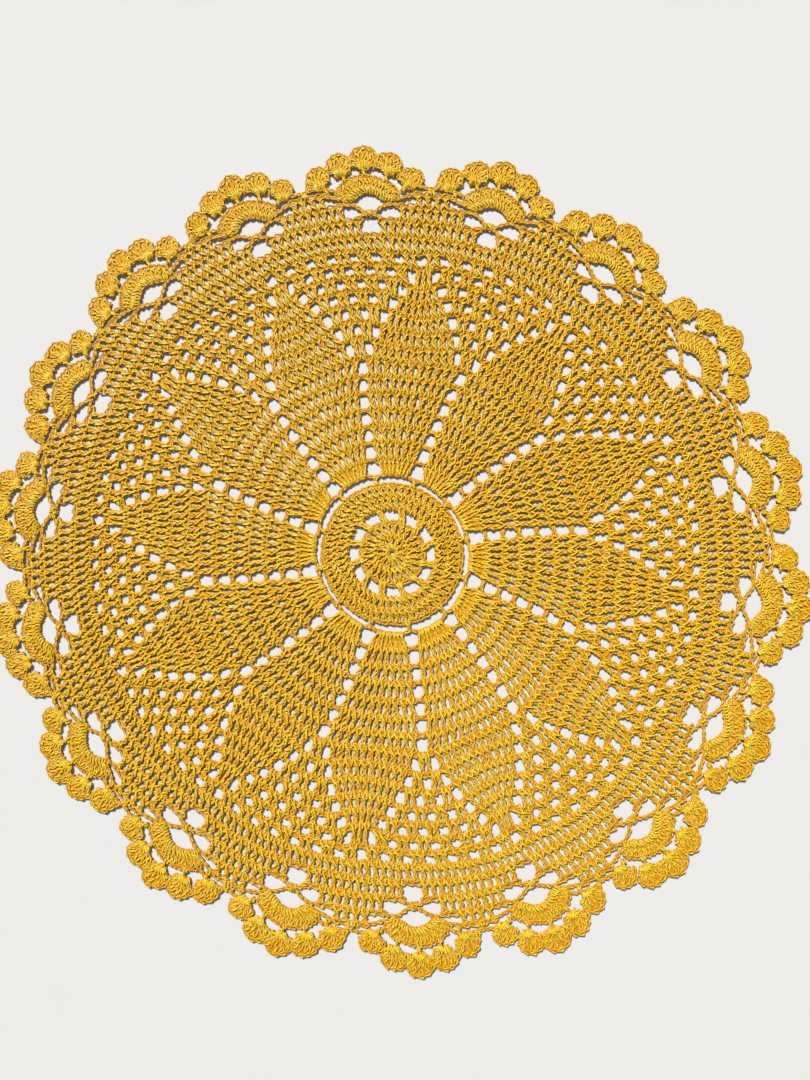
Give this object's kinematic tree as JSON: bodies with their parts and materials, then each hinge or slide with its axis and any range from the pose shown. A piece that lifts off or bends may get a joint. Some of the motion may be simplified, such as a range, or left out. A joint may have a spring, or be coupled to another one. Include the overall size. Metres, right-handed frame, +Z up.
{
  "type": "lace doily",
  "caption": "Round crocheted doily with a medallion, petals, open net between them, and a scalloped fan and shell border, lying flat.",
  "frame": {"origin": "centre of the doily on its underside", "axes": "+Z up, out of the cloth's face; +X and +Y lie in the cloth, +Y towards the top edge of the picture"},
  "size_m": [0.4512, 0.4528, 0.0034],
  "materials": {
    "cotton_yarn": "mustard yellow mercerised cotton yarn, crocheted"
  },
  "bodies": {
    "root": {"doily": "cotton_yarn"}
  },
  "joints": []
}
